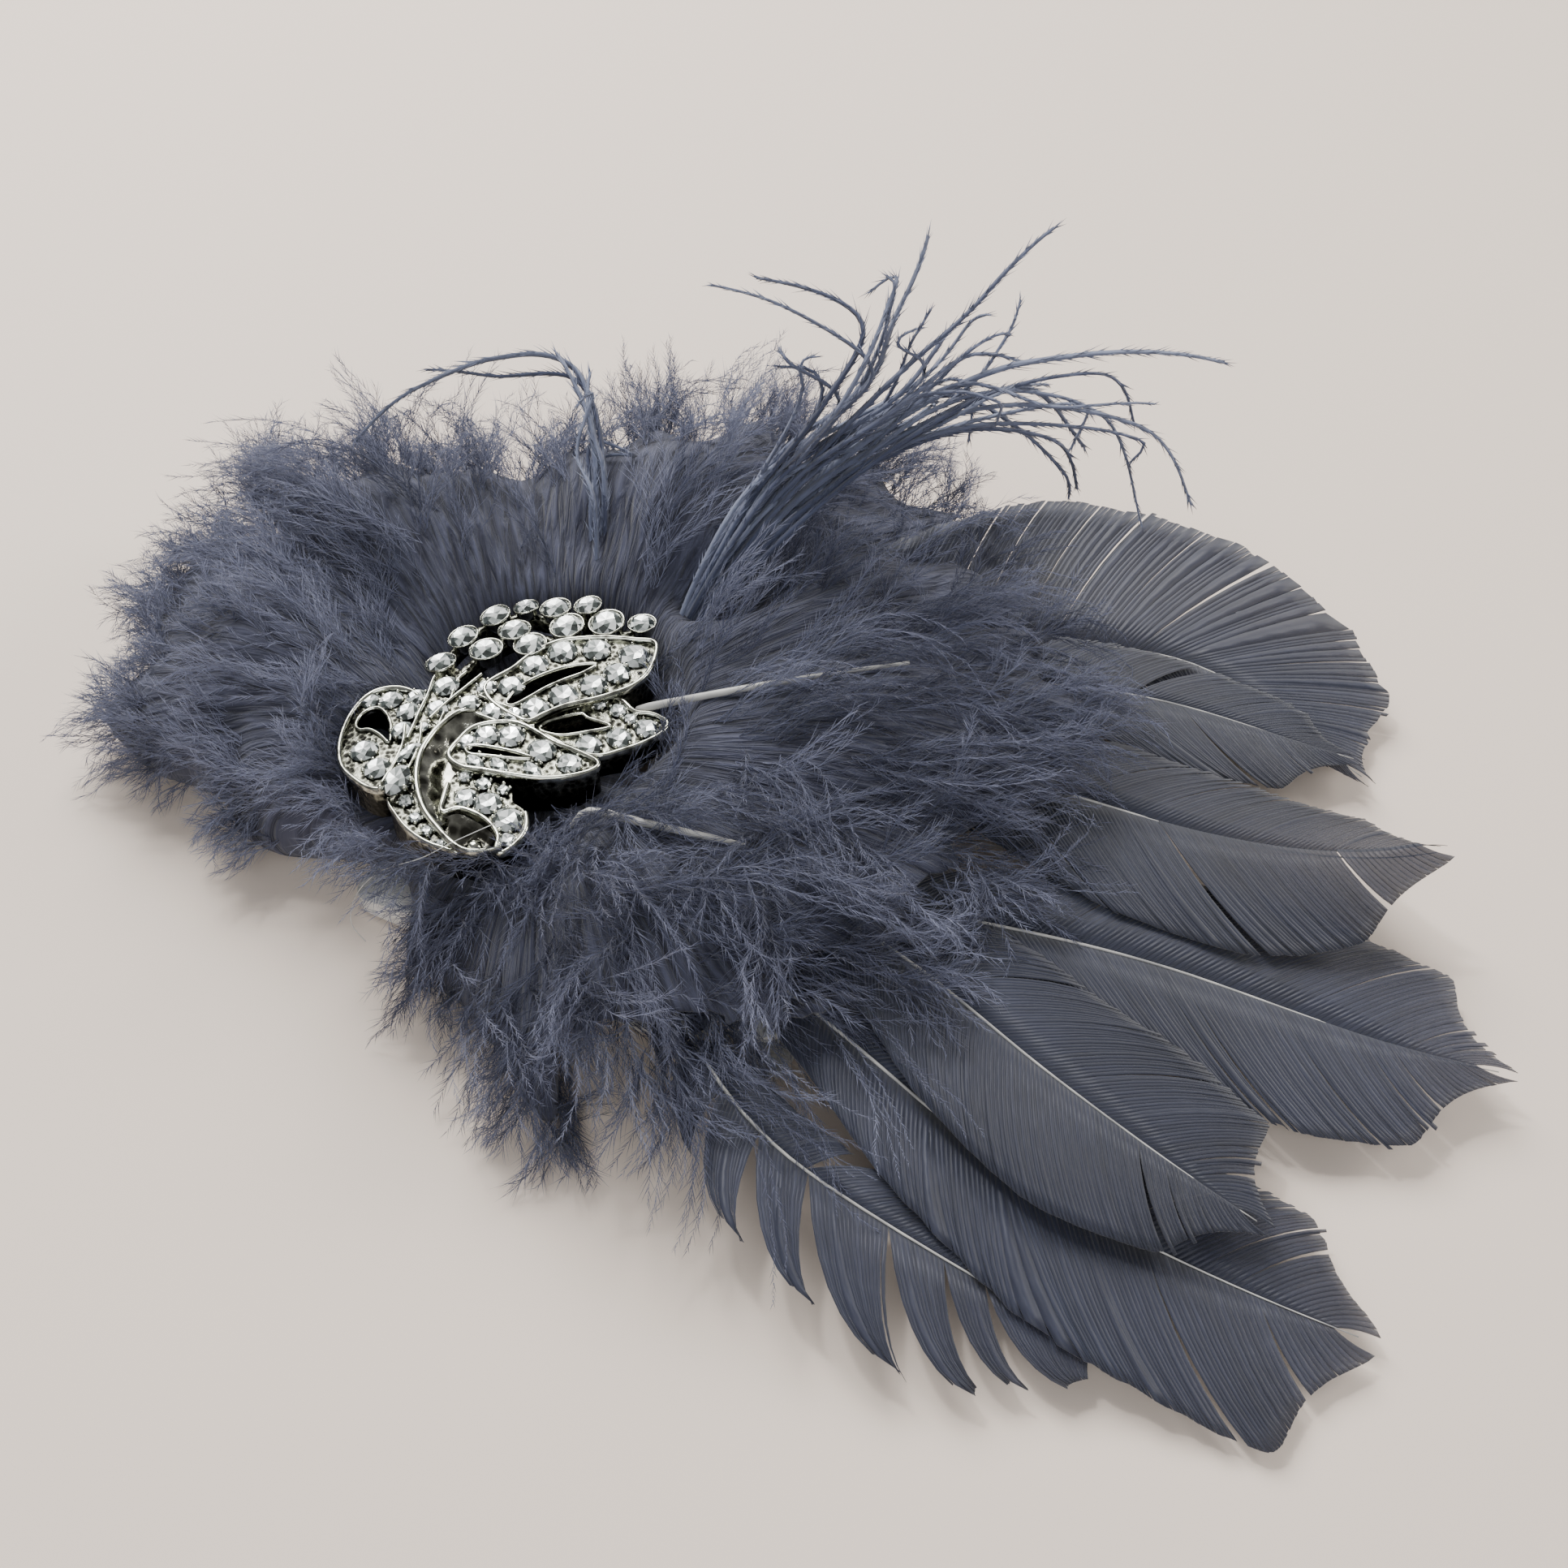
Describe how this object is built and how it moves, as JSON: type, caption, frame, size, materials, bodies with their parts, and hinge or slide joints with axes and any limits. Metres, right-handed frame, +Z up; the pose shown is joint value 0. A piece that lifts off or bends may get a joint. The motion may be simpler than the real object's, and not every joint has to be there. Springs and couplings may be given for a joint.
{
  "type": "feather hair clip",
  "caption": "Hair clip with a leaf-shaped crystal brooch over a fan of slate-blue down, flat vaned feathers and fine upright plume strands.",
  "frame": {"origin": "centre of the clip's flat underside, where it lies on the surface", "axes": "+X along the clip from its tip under the brooch towards the vaned feathers, +Z up"},
  "size_m": [0.1722, 0.1195, 0.0622],
  "materials": {
    "clip_metal": "bright nickel-plated sheet",
    "silver": "silver-tone casting, antiqued in its recesses",
    "crystal": "clear faceted",
    "goose": "slate feather vane, slightly translucent",
    "down": "slate-blue marabou down",
    "ostrich": "blue-grey ostrich strands"
  },
  "bodies": {
    "root": {"clip": "clip_metal", "brooch": "silver", "crest_stone_1": "crystal", "crest_stone_2": "crystal", "crest_stone_3": "crystal", "crest_stone_4": "crystal", "crest_stone_5": "crystal", "crest_stone_6": "crystal", "crest_stone_7": "crystal", "crest_stone_8": "crystal", "crest_stone_9": "crystal", "crest_stone_10": "crystal", "crest_stone_11": "crystal", "crest_stone_12": "crystal", "drop_stone": "crystal", "goose_feather_1": "goose", "goose_feather_2": "goose", "goose_feather_3": "goose", "goose_feather_4": "goose", "goose_feather_5": "goose", "goose_feather_6": "goose", "goose_feather_7": "goose", "down_front": "down", "down_front_right": "down", "down_right": "down", "down_right_back": "down", "down_back": "down", "down_left_back": "down", "down_left": "down", "ostrich_spray": "ostrich", "ostrich_curl": "ostrich"}
  },
  "joints": []
}
